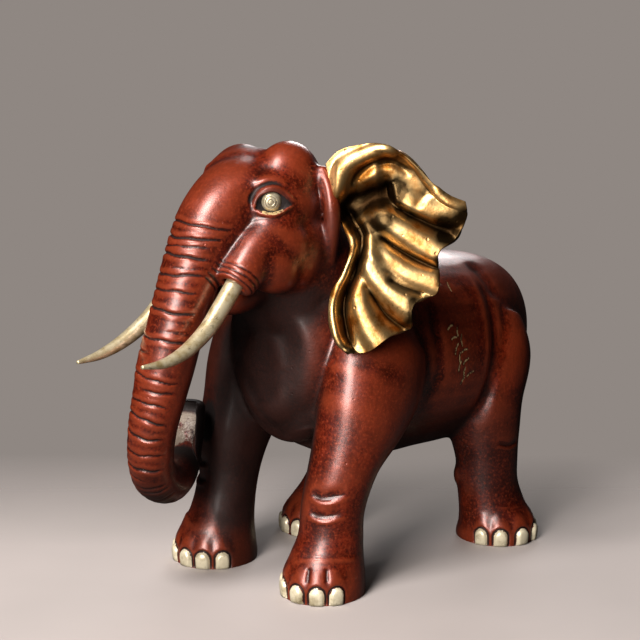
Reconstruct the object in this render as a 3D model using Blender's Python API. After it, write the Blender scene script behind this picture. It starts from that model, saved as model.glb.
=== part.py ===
"""Cast copper elephant with gilt ears and silvered tusks, standing on its four feet.

The elephant faces -Y, its left side is +X and the ground is Z = 0. Its body is laid out on a
grid of design units, 240 of which make the statue's height to the top of the head.
"""

import math

import bmesh
import bpy
import numpy as np
from mathutils import Matrix, Vector

# Driving dimensions, in metres.
STATUE_HEIGHT = 0.240
TUSK_DIAMETER = 0.0096
EAR_THICKNESS = 0.0024
EYE_DIAMETER = 0.0120
FIT_GAP = 0.0004

UNIT = STATUE_HEIGHT / 240
BODY_VOXEL = 1.7 * UNIT
BODY_TRIANGLES = 6100

COLOURS = {
    "red_patina": (0.20, 0.035, 0.015, 1.0),
    "gilt": (0.78, 0.52, 0.20, 1.0),
    "silvered": (0.72, 0.66, 0.52, 1.0),
}


def point(x, y, z):
    """A place on the design grid, in metres."""
    return Vector((x, y, z)) * UNIT


def finish(name, roughness):
    """A metal finish in one of the statue's three colours."""
    material = bpy.data.materials.get(name) or bpy.data.materials.new(name)
    material.use_nodes = True
    shader = material.node_tree.nodes["Principled BSDF"]
    shader.inputs["Base Color"].default_value = COLOURS[name]
    shader.inputs["Metallic"].default_value = 1.0
    shader.inputs["Roughness"].default_value = roughness
    return material


def add_object(name, mesh, material=None):
    mesh.shade_smooth()
    made = bpy.data.objects.new(name, mesh)
    bpy.context.scene.collection.objects.link(made)
    if material:
        mesh.materials.clear()
        mesh.materials.append(material)
    return made


def mesh_of(bm, name):
    bmesh.ops.recalc_face_normals(bm, faces=bm.faces)
    mesh = bpy.data.meshes.new(name)
    bm.to_mesh(mesh)
    bm.free()
    return mesh


def evaluated_mesh(made, name):
    """The object's mesh with its modifiers applied."""
    bpy.context.view_layer.update()
    graph = bpy.context.evaluated_depsgraph_get()
    mesh = bpy.data.meshes.new_from_object(made.evaluated_get(graph))
    mesh.name = name
    return mesh


def smooth_between(values, share):
    """Catmull-Rom curve through rows of values, at share 0 to 1 of the way along."""
    last = len(values) - 1
    place = min(max(share, 0.0), 1.0) * last
    i = min(int(place), last - 1)
    t = place - i
    rows = [np.array(values[min(max(k, 0), last)], float) for k in range(i - 1, i + 3)]
    a, b, c, d = rows
    return 0.5 * (2 * b + (c - a) * t + (2 * a - 5 * b + 4 * c - d) * t**2 + (3 * b - a - 3 * c + d) * t**3)


def ring_frame(centre, tangent):
    """Places a ring across the path: its local X stays as near the statue's X as it can."""
    along = tangent.normalized()
    side = (Vector((1, 0, 0)) - along * along.x).normalized()
    across = along.cross(side)
    turned = Matrix((side, across, along)).transposed().to_4x4()
    return Matrix.Translation(centre) @ turned


def loft(bm, stations, rings=None, segments=28):
    """Bridges elliptical rings along stations of (x, y, z, half width, half depth)."""
    rings = rings or 5 * len(stations)
    loops = []
    for i in range(rings):
        share = i / (rings - 1)
        x, y, z, wide, deep = smooth_between(stations, share)
        before = smooth_between(stations, share - 0.01)[:3]
        after = smooth_between(stations, share + 0.01)[:3]
        place = ring_frame(point(x, y, z), Vector(after - before))
        place = place @ Matrix.Diagonal((wide * UNIT, deep * UNIT, 1, 1))
        made = bmesh.ops.create_circle(bm, cap_ends=False, segments=segments, radius=1, matrix=place)
        loops.append([e for v in made["verts"][:] for e in v.link_edges])
    loops = [list(set(edges)) for edges in loops]
    for lower, upper in zip(loops, loops[1:]):
        bmesh.ops.bridge_loops(bm, edges=lower + upper)
    for end in (loops[0], loops[-1]):
        bmesh.ops.edgeloop_fill(bm, edges=end)


def ball(bm, centre, radii, turn=(0, 0, 0)):
    """An ellipsoid of clay, turned about X, Y and Z by the angles given in degrees."""
    place = Matrix.Translation(point(*centre))
    for axis, angle in zip("XYZ", turn):
        place = place @ Matrix.Rotation(math.radians(angle), 4, axis)
    place = place @ Matrix.Diagonal((*[r * UNIT for r in radii], 1))
    bmesh.ops.create_uvsphere(bm, u_segments=28, v_segments=18, radius=1, matrix=place)


# Each leg's stations run from inside the barrel of the body to a little under the ground, where
# the sole is cut off flat:
# (x, y, z, half width, half depth).
LEGS = {
    "left_fore": [
        (34, 0, 148, 12, 18),
        (41, -7, 130, 21, 29),
        (43, -10, 112, 22.5, 33),
        (44, -21, 92, 22, 27.5),
        (43.5, -33, 70, 19, 19),
        (42, -40, 47, 17, 17.5),
        (42, -42, 29, 17.5, 18),
        (42, -45, 15, 20.5, 21.5),
        (42, -47, 5, 22, 23),
        (42, -47, -4, 21.5, 22.5),
    ],
    "right_fore": [
        (-34, -4, 148, 12, 18),
        (-41, -11, 130, 20, 27),
        (-42, -20, 110, 21.5, 27.5),
        (-42, -27, 88, 21, 24.5),
        (-42, -35, 68, 19.5, 21),
        (-42, -39, 48, 17, 17.5),
        (-42, -43, 29, 17.5, 18),
        (-42, -47, 15, 21, 22),
        (-42, -49, 5, 23, 24),
        (-42, -49, -4, 22.5, 23.5),
    ],
    "left_hind": [
        (28, 103, 128, 17, 20),
        (34, 97, 108, 23, 26),
        (36, 90, 84, 22.5, 24),
        (38, 89, 64, 20.5, 21),
        (40, 89, 48, 18, 18.5),
        (41, 89, 32, 17.5, 18),
        (43, 91, 17, 19.5, 19.5),
        (45, 92, 6, 24, 22),
        (45, 92, -4, 23.5, 21.5),
    ],
    "right_hind": [
        (-28, 104, 128, 17, 20),
        (-34, 97, 108, 23, 26),
        (-37, 86, 84, 22.5, 25),
        (-40, 73, 62, 19.5, 18),
        (-40, 60, 46, 17, 15),
        (-39, 46, 32, 16, 15),
        (-38, 36, 18, 18, 17.5),
        (-38, 29, 6, 21, 22),
        (-38, 28, -4, 21, 22),
    ],
}

TORSO = [
    (0, -52, 118, 14, 20),
    (0, -46, 118, 30, 38),
    (0, -30, 121, 42, 50),
    (0, -8, 120, 50, 56),
    (0, 22, 114, 55, 59),
    (0, 52, 111, 57, 57),
    (0, 84, 109, 54, 56),
    (0, 108, 109, 44, 52),
    (0, 130, 108, 33, 45),
    (0, 146, 106, 22, 33),
    (0, 154, 104, 10, 16),
]

NECK = [
    (0, 14, 128, 40, 40),
    (0, -12, 146, 40, 38),
    (0, -30, 170, 37, 35),
    (0, -42, 192, 33, 32),
    (0, -48, 206, 24, 24),
]

TRUNK = [
    (0, -36, 206, 15, 12),
    (0, -52, 214, 19, 15),
    (0, -68, 213, 21.5, 19),
    (0, -83, 203, 20, 19),
    (0, -93, 190, 18, 17.5),
    (0, -101, 176, 16, 16),
    (0, -108, 160, 15, 15),
    (-1, -113, 144, 15, 15),
    (-3, -117, 128, 15, 15),
    (-5, -120, 112, 13.8, 13.8),
    (-8, -122, 96, 12.8, 12.8),
    (-12.5, -120, 79, 12.2, 12.2),
    (-18.5, -112, 65, 12, 12),
    (-26, -97, 57.5, 11.6, 11.6),
    (-34, -83, 60, 11.2, 11.2),
    (-41, -73, 71, 10.6, 10.6),
    (-44.5, -67, 84, 10.2, 10.2),
    (-45, -66, 93, 9.6, 9.6),
]

TAIL = [
    (0, 146, 128, 7, 6),
    (2, 155, 114, 6, 5),
    (5, 157, 94, 4.6, 4),
    (8, 153, 74, 4, 3.6),
    (8, 147, 58, 4.4, 4),
    (8, 142, 44, 6, 5),
    (8, 139, 34, 3, 2.6),
]

# The left tusk from deep in its socket to the point: (x, y, z). The head is turned a little, so
# what it carries on the right is set back, and the right tusk hangs lower.
TUSK = [
    (22, -85, 178.5),
    (22.4, -92.5, 170),
    (23, -102, 160),
    (24, -112.5, 150.5),
    (25.2, -127, 142.5),
    (25.8, -141.5, 138.8),
    (25.5, -156, 139),
]
RIGHT_SET_BACK = 4
RIGHT_TUSK_DROP = 6

# The ears stand out from the head on a slant of EAR_SWEEP degrees. Their outline is laid out
# by (distance out from the root, height) and folded by the relief below.
EAR_ROOT = (37, -38)
EAR_SWEEP = 40
EAR_LEAN = 13
EAR_ROWS = 8
EAR_SLOT_EASE = 5
RIGHT_EAR_DROP = 15
EAR_FRONT_EDGE = [(4, 201), (12, 187), (8, 173), (2, 162), (1, 149), (5, 138), (11, 132)]
EAR_TOP_RIM = [(-2, 229), (5, 236), (16, 239), (29, 239), (38, 235), (47, 227), (54, 219), (62, 213), (70, 210)]
EAR_OUTER_EDGE = [
    (11, 132),
    (21, 133),
    (32, 141),
    (43, 145),
    (45, 158),
    (57, 165),
    (57, 184),
    (66, 191),
    (71, 203),
    (70, 210),
]
# Height of the pleats along the outer edge, from the front edge (0) to the top rim (1).
EAR_PLEATS = [
    (0.00, 5.0),
    (0.06, 1.0),
    (0.13, -5.0),
    (0.23, 3.0),
    (0.33, -3.0),
    (0.43, 3.5),
    (0.49, -1.5),
    (0.56, 3.0),
    (0.61, -2.5),
    (0.68, 4.0),
    (0.80, -3.0),
    (0.90, 1.0),
    (0.95, -1.0),
    (1.00, 3.0),
]
EYE_CENTRE = (24.5, -68, 211.5)

# The cheek narrows to the lip that holds the tusk, and a fold of skin stands before the ear:
# (x, y, z, half width, half depth).
CHEEK = [
    (19, -58, 203, 15, 14),
    (21, -68, 193, 14, 13),
    (22, -78, 184.5, 12.5, 12.5),
    (22.5, -86, 177, 11.5, 11.5),
    (22.5, -92.5, 170, 10.5, 10.5),
]
EAR_FOLD = [
    (31, -38, 228, 3.4, 3.4),
    (35.5, -38, 219, 4.4, 4.4),
    (38, -37.5, 208, 4.8, 4.8),
    (38, -37, 194, 4.4, 4.4),
    (34, -35, 176, 3.4, 3.4),
]


def add_head(bm):
    ball(bm, (15, -47, 217), (17, 20, 23.5))
    ball(bm, (-17, -50, 214), (17, 20, 22.5))
    ball(bm, (0, -44, 201), (33, 32, 30))
    ball(bm, (-3, -50, 221), (19, 19, 14))
    ball(bm, (-9, -57, 217.5), (22, 22, 17.5), (15, 0, 0))
    ball(bm, (0, -62, 163), (15, 26, 11.5), (18, 0, 0))
    for side, back in ((1, 0), (-1, RIGHT_SET_BACK)):
        ball(bm, (side * 21, -55 + back, 207), (13, 24, 18), (0, 0, side * -8))
        ball(bm, (side * 23, -47 + back, 184), (14, 22, 23))
        ball(bm, (side * 23.5, -60 + back, 188), (14.5, 22, 15), (-32, 0, 0))
        ball(bm, (side * 22.5, -68 + back, 181), (14, 19, 13), (-40, 0, 0))
        ball(bm, (side * 21, -64 + back, 219), (8, 12, 7), (0, 0, side * -20))
        ex, ey, ez = EYE_CENTRE
        ball(bm, (side * ex, ey + back, ez), (7.6, 7.6, 7.6))
        loft(bm, [(side * x, y + back, z, wide, deep) for x, y, z, wide, deep in CHEEK])
        loft(bm, [(side * x, y, z, wide, deep) for x, y, z, wide, deep in EAR_FOLD])


# Wrinkles round the front of the trunk: (distance along it from the forehead, depth).
TRUNK_WRINKLES = [
    (66, 1.1),
    (73, 1.1),
    (77, 0.9),
    (82, 1.1),
    (87, 0.5),
    (91, 0.9),
    (99, 1.1),
    (108, 1.2),
    (117, 0.4),
    (122, 1.1),
    (130, 0.6),
    (141, 1.1),
    (147, 0.9),
    (154, 1.1),
    (162, 1.1),
    (170, 1.1),
    (179, 0.9),
    (187, 1.1),
    (193, 0.8),
    (201, 1.0),
    (208, 0.8),
]
WRINKLE_WIDTH = 1.3

# The trunk's tip is a scoop, open from one distance along the trunk to another.
SCOOP_FACING = (0.45, -0.85, 0.0)
SCOOP_REACH = (228, 281)
SCOOP_FLOOR = 2.5

LIP_RINGS = 4
LIP_RING_STEP = 3.2
LIP_RING_DEPTH = 1.0

# Toenails: (centre of the foot x, y, its radius, bearing of the middle toe from straight ahead).
FEET = {
    "left_fore": (42, -47, 22, 5),
    "right_fore": (-42, -49, 23, 1),
    "left_hind": (45, 92, 23, 82),
    "right_hind": (-38, 28, 21.5, 11),
}
NAILS_PER_FOOT = 5
NAIL_SPACING = 29
NAIL_WIDTH = 7
NAIL_HEIGHT = 9.5


def soft_step(value, low, high):
    """0 below low, 1 above high and a smooth rise between them."""
    t = np.clip((value - low) / (high - low), 0, 1)
    return t * t * (3 - 2 * t)


def carve_trunk(points, normals):
    """Wrinkles across the front and sides of the trunk, and the scooped tip."""
    shares = np.linspace(0, 1, 400)
    centres = np.array([smooth_between(TRUNK, t)[:4] for t in shares])
    line = centres[:, :3]
    steps = np.linalg.norm(np.diff(line, axis=0), axis=1)
    along = np.concatenate([[0], np.cumsum(steps)])
    ahead = np.gradient(line, axis=0)
    ahead /= np.linalg.norm(ahead, axis=1)[:, None]
    front = np.cross(ahead, np.array([1.0, 0, 0]))
    front /= np.linalg.norm(front, axis=1)[:, None]
    near = np.full(len(points), 1e9)
    place = np.zeros(len(points), int)
    for k in range(len(shares)):
        gap = ((points - line[k]) ** 2).sum(1)
        closer = gap < near
        near[closer] = gap[closer]
        place[closer] = k
    radius = np.sqrt(near)
    on_trunk = radius < centres[place, 3] * 1.35
    facing = ((points - line[place]) * front[place]).sum(1) / np.maximum(radius, 0.1)
    shown = soft_step(facing, -0.55, -0.1) * on_trunk
    depth = np.zeros(len(points))
    for distance, deep in TRUNK_WRINKLES:
        gap = (along[place] - distance) / WRINKLE_WIDTH
        depth = np.maximum(depth, deep * np.exp(-gap * gap))
    points -= normals * (depth * shown)[:, None]
    mouth = np.array(SCOOP_FACING)
    mouth /= np.linalg.norm(mouth)
    offset = points - line[place]
    rise = offset @ mouth
    flank = np.cross(ahead[place], mouth)
    sideways = (offset * flank).sum(1)
    start, end = SCOOP_REACH
    inside = soft_step(along[place], start, start + 8) * (1 - soft_step(along[place], end - 3, end))
    inside *= (1 - soft_step(np.abs(sideways), 4.5, 7.5)) * on_trunk * (rise > 0)
    points -= mouth * (inside * (rise + SCOOP_FLOOR))[:, None]


# Creases and hollows of the skin: the line each follows, its width and depth. A mound has a
# negative depth.
CREASES = {
    "shoulder": ([(50, 33, 150), (58, 31, 134), (61, 30, 120), (60, 27, 106), (54, 17, 94)], 4.5, 1.6),
    "haunch": ([(34, 84, 154), (45, 84, 141), (54, 79, 120), (55, 75, 101), (51, 72, 83)], 5.0, 2.4),
    "upper_knee": ([(41, -57, 57), (46, -57, 54.5), (52, -54, 54.5), (58, -47, 58)], 1.8, 1.5),
    "lower_knee": ([(42, -58, 47), (46, -57, 45), (52, -55, 44), (57, -48, 47)], 1.8, 1.3),
    "knee_cap": ([(44, -57, 51), (53, -54, 50)], 4.5, -1.3),
    "ankle": ([(41, -64, 21), (48, -61, 23.5), (56, -55, 24), (60, -46, 22)], 2.5, -1.0),
}


# Folds round the eye, each as (distance back from the eye's middle, height over it), with its
# width and depth.
EYE_FACING = (0.80, -0.60)
EYELID_FOLDS = [
    ([(-10, -1), (-6, 6), (1, 9.5), (8, 7.5), (14, 1), (17, -5)], 1.7, 1.3),
    ([(-9, -5), (-3, -8), (5, -8.5), (12, -6)], 1.5, -0.8),
    ([(-8, -9), (0, -11.5), (8, -11), (14, -8)], 1.8, 1.0),
]


def along_line(points, line):
    """Distance from each point to a line through the places given."""
    nearest = np.full(len(points), 1e9)
    for a, b in zip(line, line[1:]):
        a = np.array(a, float)
        step = np.array(b, float) - a
        t = np.clip(((points - a) @ step) / (step @ step), 0, 1)
        gap = np.linalg.norm(points - a - t[:, None] * step, axis=1)
        nearest = np.minimum(nearest, gap)
    return nearest


def carve_creases(points, normals):
    """Presses each crease into both sides of the body."""
    for line, width, depth in CREASES.values():
        for side in (1, -1):
            path = [(side * x, y, z) for x, y, z in line]
            path = [smooth_between(path, i / 12) for i in range(13)]
            gap = along_line(points, path) / width
            points -= normals * (depth * np.exp(-gap * gap))[:, None]


def carve_eyelids(points, normals):
    """Folds of skin over and under each eye."""
    for side, back in ((1, 0), (-1, RIGHT_SET_BACK)):
        ex, ey, ez = EYE_CENTRE
        outward = np.array([side * EYE_FACING[0], EYE_FACING[1], 0.0])
        backward = np.array([side * -EYE_FACING[1], EYE_FACING[0], 0.0])
        offset = points - np.array([side * ex, ey + back, ez])
        near = (offset @ outward > 2) & (np.linalg.norm(offset, axis=1) < 30)
        flat = np.stack([offset @ backward, offset[:, 2]], axis=1)
        for line, width, depth in EYELID_FOLDS:
            path = [smooth_between(line, i / 16) for i in range(17)]
            gap = along_line(flat, path) / width
            points -= normals * (depth * np.exp(-gap * gap) * near)[:, None]


def carve_lips(points, normals):
    """Rolled rings of skin round the mouth of each tusk's socket."""
    for side, back in ((1, 0), (-1, RIGHT_SET_BACK)):
        upper, mouth = [np.array([side * x, y + back, z]) for x, y, z, _, _ in (CHEEK[2], CHEEK[-1])]
        axis = mouth - upper
        axis /= np.linalg.norm(axis)
        offset = points - mouth
        along = offset @ axis
        away = np.linalg.norm(offset - along[:, None] * axis, axis=1)
        near = (away < 15) & (points[:, 2] > 164)
        rings = np.zeros(len(points))
        for i in range(LIP_RINGS):
            gap = (along + 0.5 + i * LIP_RING_STEP) / 0.9
            rings = np.maximum(rings, np.exp(-gap * gap))
        points -= normals * (LIP_RING_DEPTH * rings * near)[:, None]


def carve_nails(points):
    """Raises a domed nail over each toe, with a groove round it."""
    for x, y, radius, bearing in FEET.values():
        dx = points[:, 0] - x
        dy = points[:, 1] - y
        reach = np.hypot(dx, dy)
        angle = np.degrees(np.arctan2(dx, -dy))
        near = (reach < radius * 1.35) & (points[:, 2] < 16) & (reach > radius * 0.5)
        push = np.zeros(len(points))
        for i in range(NAILS_PER_FOOT):
            middle = bearing + (i - (NAILS_PER_FOOT - 1) / 2) * NAIL_SPACING
            off = (angle - middle + 180) % 360 - 180
            sideways = np.radians(off) * radius / (NAIL_WIDTH / 2)
            straight = NAIL_HEIGHT * 0.55
            upward = np.maximum(points[:, 2] - straight, 0) / (NAIL_HEIGHT - straight)
            shape = np.hypot(sideways, upward)
            push += 1.1 * (1 - soft_step(shape, 0.6, 1.0)) - 0.8 * np.exp(-(((shape - 1.25) / 0.25) ** 2))
        push *= near
        points[:, 0] += push * dx / np.maximum(reach, 1)
        points[:, 1] += push * dy / np.maximum(reach, 1)


def clay_body():
    """The whole animal as overlapping masses, fused and smoothed into one skin."""
    bm = bmesh.new()
    loft(bm, TORSO)
    loft(bm, NECK)
    loft(bm, TRUNK)
    loft(bm, TAIL)
    for stations in LEGS.values():
        loft(bm, stations)
    add_head(bm)
    ball(bm, (0, -32, 104), (32, 18, 32))
    ball(bm, (34, 78, 37), (8, 7, 9))
    ball(bm, (-36, 36, 40), (8, 7, 9))
    clay = add_object("clay", mesh_of(bm, "clay"))
    fused = clay.modifiers.new("fuse", "REMESH")
    fused.mode = "VOXEL"
    fused.voxel_size = BODY_VOXEL
    soft = clay.modifiers.new("soften", "SMOOTH")
    soft.factor = 0.5
    soft.iterations = 14
    mesh = evaluated_mesh(clay, "body")
    bpy.data.objects.remove(clay)
    return mesh


def read_mesh(mesh):
    """The mesh's points and normals as arrays of three columns."""
    points = np.empty(len(mesh.vertices) * 3)
    mesh.vertices.foreach_get("co", points)
    normals = np.empty(len(mesh.vertices) * 3)
    mesh.vertices.foreach_get("normal", normals)
    return points.reshape(-1, 3), normals.reshape(-1, 3)


def write_mesh(mesh, points):
    mesh.vertices.foreach_set("co", points.astype(np.float32).ravel())
    mesh.update()


def make_body():
    mesh = clay_body()
    points, normals = read_mesh(mesh)
    points /= UNIT
    carve_trunk(points, normals)
    carve_creases(points, normals)
    carve_eyelids(points, normals)
    carve_lips(points, normals)
    carve_nails(points)
    write_mesh(mesh, points * UNIT)
    body = add_object("body", mesh, finish("red_patina", 0.35))
    thinned = body.modifiers.new("fewer_faces", "DECIMATE")
    thinned.ratio = BODY_TRIANGLES / (2 * len(mesh.polygons))
    return body


def cut(body, cutter):
    """Takes the cutter's shape out of the body."""
    cutter.hide_render = True
    cutter.display_type = "WIRE"
    taken = body.modifiers.new(cutter.name, "BOOLEAN")
    taken.operation = "DIFFERENCE"
    taken.solver = "EXACT"
    taken.object = cutter


def make_ground():
    """The block under the ground that cuts the soles flat."""
    bm = bmesh.new()
    wide = 2 * STATUE_HEIGHT
    place = Matrix.Translation((0, 0, -wide / 2)) @ Matrix.Diagonal((wide, wide, wide, 1))
    bmesh.ops.create_cube(bm, size=1, matrix=place)
    return add_object("ground", mesh_of(bm, "ground"))


def make_tusk(name, side, grow=0.0):
    """A curved, tapering tusk. With grow it is the socket that the tusk sits in."""
    bm = bmesh.new()
    radius = (TUSK_DIAMETER / 2 + grow) / UNIT
    count = len(TUSK)
    stations = []
    for i, (x, y, z) in enumerate(TUSK):
        share = i / (count - 1)
        wide = radius * (1.0 - 0.8 * share**3)
        drop = RIGHT_TUSK_DROP * share * share if side < 0 else 0
        back = RIGHT_SET_BACK * (1 - share) if side < 0 else 0
        stations.append((side * x, y + back, z - drop, wide, wide))
    bottom = np.array(stations[0])
    deeper = (bottom - np.array(stations[1]))[:3]
    bottom[:3] += deeper / np.linalg.norm(deeper) * grow * 2 / UNIT
    stations[0] = tuple(bottom)
    loft(bm, stations, rings=12, segments=10)
    return add_object(name, mesh_of(bm, name), finish("silvered", 0.3))


def ear_place(side, across, out):
    """Point of the ear's middle sheet: across 0 front edge to 1 top rim, out 0 root to 1 edge."""
    root_low = np.array(EAR_FRONT_EDGE[0], float)
    root_high = np.array(EAR_TOP_RIM[0], float)
    tip_low = np.array(EAR_OUTER_EDGE[0], float)
    tip_high = np.array(EAR_OUTER_EDGE[-1], float)
    front = smooth_between(EAR_FRONT_EDGE, out)
    top = smooth_between(EAR_TOP_RIM, out)
    edge = smooth_between(EAR_OUTER_EDGE, across)
    root = root_low + (root_high - root_low) * across
    blend = (1 - across) * front + across * top + (1 - out) * root + out * edge
    inner = (1 - across) * (1 - out) * root_low + across * (1 - out) * root_high
    outer = (1 - across) * out * tip_low + across * out * tip_high
    reach, height = blend - inner - outer
    knots = [k for k, _ in EAR_PLEATS]
    pleat = np.interp(across, knots, [h for _, h in EAR_PLEATS])
    hollow = -8.0 * math.exp(-(((across - 0.66) / 0.16) ** 2) - ((out - 0.36) / 0.2) ** 2)
    roll = 4.0 * math.exp(-(((across - 1.0) / 0.09) ** 2)) * math.sin(math.pi * min(out * 1.6, 1.0))
    swell = float(soft_step(out, 1 / EAR_ROWS, 0.4))
    relief = (pleat * out**0.5 + hollow + roll) * swell
    relief += EAR_LEAN * max(0.0, 201 - height) / 69
    turn = math.radians(EAR_SWEEP)
    x = EAR_ROOT[0] + reach * math.cos(turn) + relief * math.sin(turn)
    y = EAR_ROOT[1] + reach * math.sin(turn) - relief * math.cos(turn)
    drop = RIGHT_EAR_DROP * min(1.0, out * 3) * (height - 120) / 110 if side < 0 else 0
    return point(side * x, y, height - drop)


def make_ear(name, side, rows=EAR_ROWS, reach=1.0, grow=0.0):
    """A thin pleated ear, its root let into the head. With grow it is the slot for the root."""
    columns = 22
    bm = bmesh.new()
    bmesh.ops.create_grid(bm, x_segments=columns, y_segments=rows, size=1)
    for v in bm.verts:
        v.co = ear_place(side, (v.co.x + 1) / 2, (v.co.y + 1) / 2 * reach)
    pushed = {}
    for v in bm.verts:
        if v.is_boundary:
            away = sum(((v.co - e.other_vert(v).co).normalized() for e in v.link_edges), Vector())
            pushed[v] = v.co + away.normalized() * grow * EAR_SLOT_EASE
    for v, place in pushed.items():
        v.co = place
    ear = add_object(name, mesh_of(bm, name), finish("gilt", 0.3))
    wall = ear.modifiers.new("wall", "SOLIDIFY")
    wall.thickness = EAR_THICKNESS + 2 * grow
    wall.offset = 0
    wall.use_even_offset = True
    return ear


def make_eye(name, side, grow=0.0):
    bm = bmesh.new()
    x, y, z = EYE_CENTRE
    y += RIGHT_SET_BACK if side < 0 else 0
    outward = Vector((side * EYE_FACING[0], EYE_FACING[1], 0))
    turned = outward.to_track_quat("Z", "Y").to_matrix().to_4x4()
    place = Matrix.Translation(point(side * x, y, z)) @ turned
    radius = EYE_DIAMETER / 2 + grow
    bmesh.ops.create_uvsphere(bm, u_segments=14, v_segments=8, radius=radius, matrix=place)
    return add_object(name, mesh_of(bm, name), finish("silvered", 0.3))


# The lens-shaped opening of the eyelids, in eye diameters: how far out from the eye's middle it
# stands, and its half length, half height and half depth.
LENS_OUT = 0.70
LENS_SIZE = (0.82, 0.50, 0.46)


def eye_opening(name, side):
    """Lens between the eyelids, through which the eye shows."""
    bm = bmesh.new()
    x, y, z = EYE_CENTRE
    y += RIGHT_SET_BACK if side < 0 else 0
    outward = Vector((side * EYE_FACING[0], EYE_FACING[1], 0))
    turned = outward.to_track_quat("Z", "Y").to_matrix().to_4x4()
    place = Matrix.Translation(point(side * x, y, z) + outward * EYE_DIAMETER * LENS_OUT) @ turned
    place = place @ Matrix.Diagonal((*[EYE_DIAMETER * share for share in LENS_SIZE], 1))
    bmesh.ops.create_uvsphere(bm, u_segments=16, v_segments=8, radius=1, matrix=place)
    return add_object(name, mesh_of(bm, name))


def centre_on_ground():
    """Moves every shape so that the origin is on the ground at the middle of the statue."""
    bpy.context.view_layer.update()
    graph = bpy.context.evaluated_depsgraph_get()
    shown = [o.evaluated_get(graph) for o in bpy.data.objects if not o.hide_render]
    corners = np.array([c[:] for o in shown for c in o.bound_box])
    low = corners.min(0)
    middle = (low + corners.max(0)) / 2
    shift = Matrix.Translation((-middle[0], -middle[1], -low[2]))
    for made in bpy.data.objects:
        made.data.transform(shift)


def main():
    for old in list(bpy.data.objects):
        bpy.data.objects.remove(old)
    body = make_body()
    cut(body, make_ground())
    for word, side in (("left", 1), ("right", -1)):
        make_tusk(word + "_tusk", side)
        cut(body, make_tusk(word + "_tusk_socket", side, FIT_GAP))
        make_eye(word + "_eye", side)
        cut(body, make_eye(word + "_eye_socket", side, FIT_GAP))
        cut(body, eye_opening(word + "_eye_opening", side))
        make_ear(word + "_ear", side)
        cut(body, make_ear(word + "_ear_slot", side, 1, 1 / EAR_ROWS, FIT_GAP))
    centre_on_ground()


main()
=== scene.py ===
"""Looks of the cast copper elephant: its chased and patinated body, gilt ears, silvered tusks,
eyes and toenails, standing on a pale floor in soft studio light.

Lengths in the shape tables are in millimetres, on the grid that the statue was laid out on.
"""

import math

import bmesh
import bpy
import numpy as np
from mathutils import Matrix, Vector


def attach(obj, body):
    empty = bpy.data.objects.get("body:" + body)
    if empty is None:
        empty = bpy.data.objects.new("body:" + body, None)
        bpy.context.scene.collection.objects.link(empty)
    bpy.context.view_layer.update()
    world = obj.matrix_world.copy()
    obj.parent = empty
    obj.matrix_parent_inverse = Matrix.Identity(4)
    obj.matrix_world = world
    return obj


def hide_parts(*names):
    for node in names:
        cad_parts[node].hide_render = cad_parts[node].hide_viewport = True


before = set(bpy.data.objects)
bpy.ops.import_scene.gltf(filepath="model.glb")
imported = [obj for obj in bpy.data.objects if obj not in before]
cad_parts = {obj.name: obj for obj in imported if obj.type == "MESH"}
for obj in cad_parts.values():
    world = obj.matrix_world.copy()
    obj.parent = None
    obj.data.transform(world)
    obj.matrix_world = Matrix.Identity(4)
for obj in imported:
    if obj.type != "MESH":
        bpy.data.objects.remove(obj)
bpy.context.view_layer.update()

# Body. The real body is one hollow lost-wax casting in copper: trunk, head, legs, tail and
# toenails. Wrinkles, eyelids and toes were chased into it by hand, then it was patinated red
# brown and waxed. Here it is built up as clay masses that are fused, carved and thinned.
MM = 0.001
# From the grid of the tables to the frame's origin.
GRID_SHIFT = Vector((0.0, -2.35, 0.0))
# The clay is fused on this grid, its joins are rubbed soft this many times, and the brow more.
BODY_VOXEL = 0.75
BODY_SOFTENING = 70
BROW_SOFTENING = 120
BODY_TRIANGLES = 192000

# Stations of (x, y, z, half width, half depth), each leg from the shoulder or hip to below the
# ground. What ends up under the ground is pressed flat onto it.
LEGS = {
    "left_fore": [
        (34, 0, 148, 12, 18),
        (41, -7, 130, 21, 29),
        (43, -10, 112, 22.5, 33),
        (44, -21, 92, 22, 27.5),
        (43.5, -33, 70, 19, 19),
        (42, -40, 47, 17, 17.5),
        (42, -42, 29, 17.5, 18),
        (42, -45, 15, 20.5, 21.5),
        (42, -47, 5, 22, 23),
        (42, -47, -4, 21.5, 22.5),
    ],
    "right_fore": [
        (-34, -4, 148, 12, 18),
        (-41, -11, 130, 20, 27),
        (-42, -20, 110, 21.5, 27.5),
        (-42, -27, 88, 21, 24.5),
        (-42, -35, 68, 19.5, 21),
        (-42, -39, 48, 17, 17.5),
        (-42, -43, 29, 17.5, 18),
        (-42, -47, 15, 21, 22),
        (-42, -49, 5, 23, 24),
        (-42, -49, -4, 22.5, 23.5),
    ],
    "left_hind": [
        (28, 103, 128, 17, 20),
        (34, 97, 108, 23, 26),
        (36, 90, 84, 22.5, 24),
        (38, 89, 64, 20.5, 21),
        (40, 89, 48, 18, 18.5),
        (41, 89, 32, 17.5, 18),
        (43, 91, 17, 19.5, 19.5),
        (45, 92, 6, 24, 22),
        (45, 92, -4, 23.5, 21.5),
    ],
    "right_hind": [
        (-28, 104, 128, 17, 20),
        (-34, 97, 108, 23, 26),
        (-37, 86, 84, 22.5, 25),
        (-40, 73, 62, 19.5, 18),
        (-40, 60, 46, 17, 15),
        (-39, 46, 32, 16, 15),
        (-38, 36, 18, 18, 17.5),
        (-38, 29, 6, 21, 22),
        (-38, 28, -4, 21, 22),
    ],
}
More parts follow.
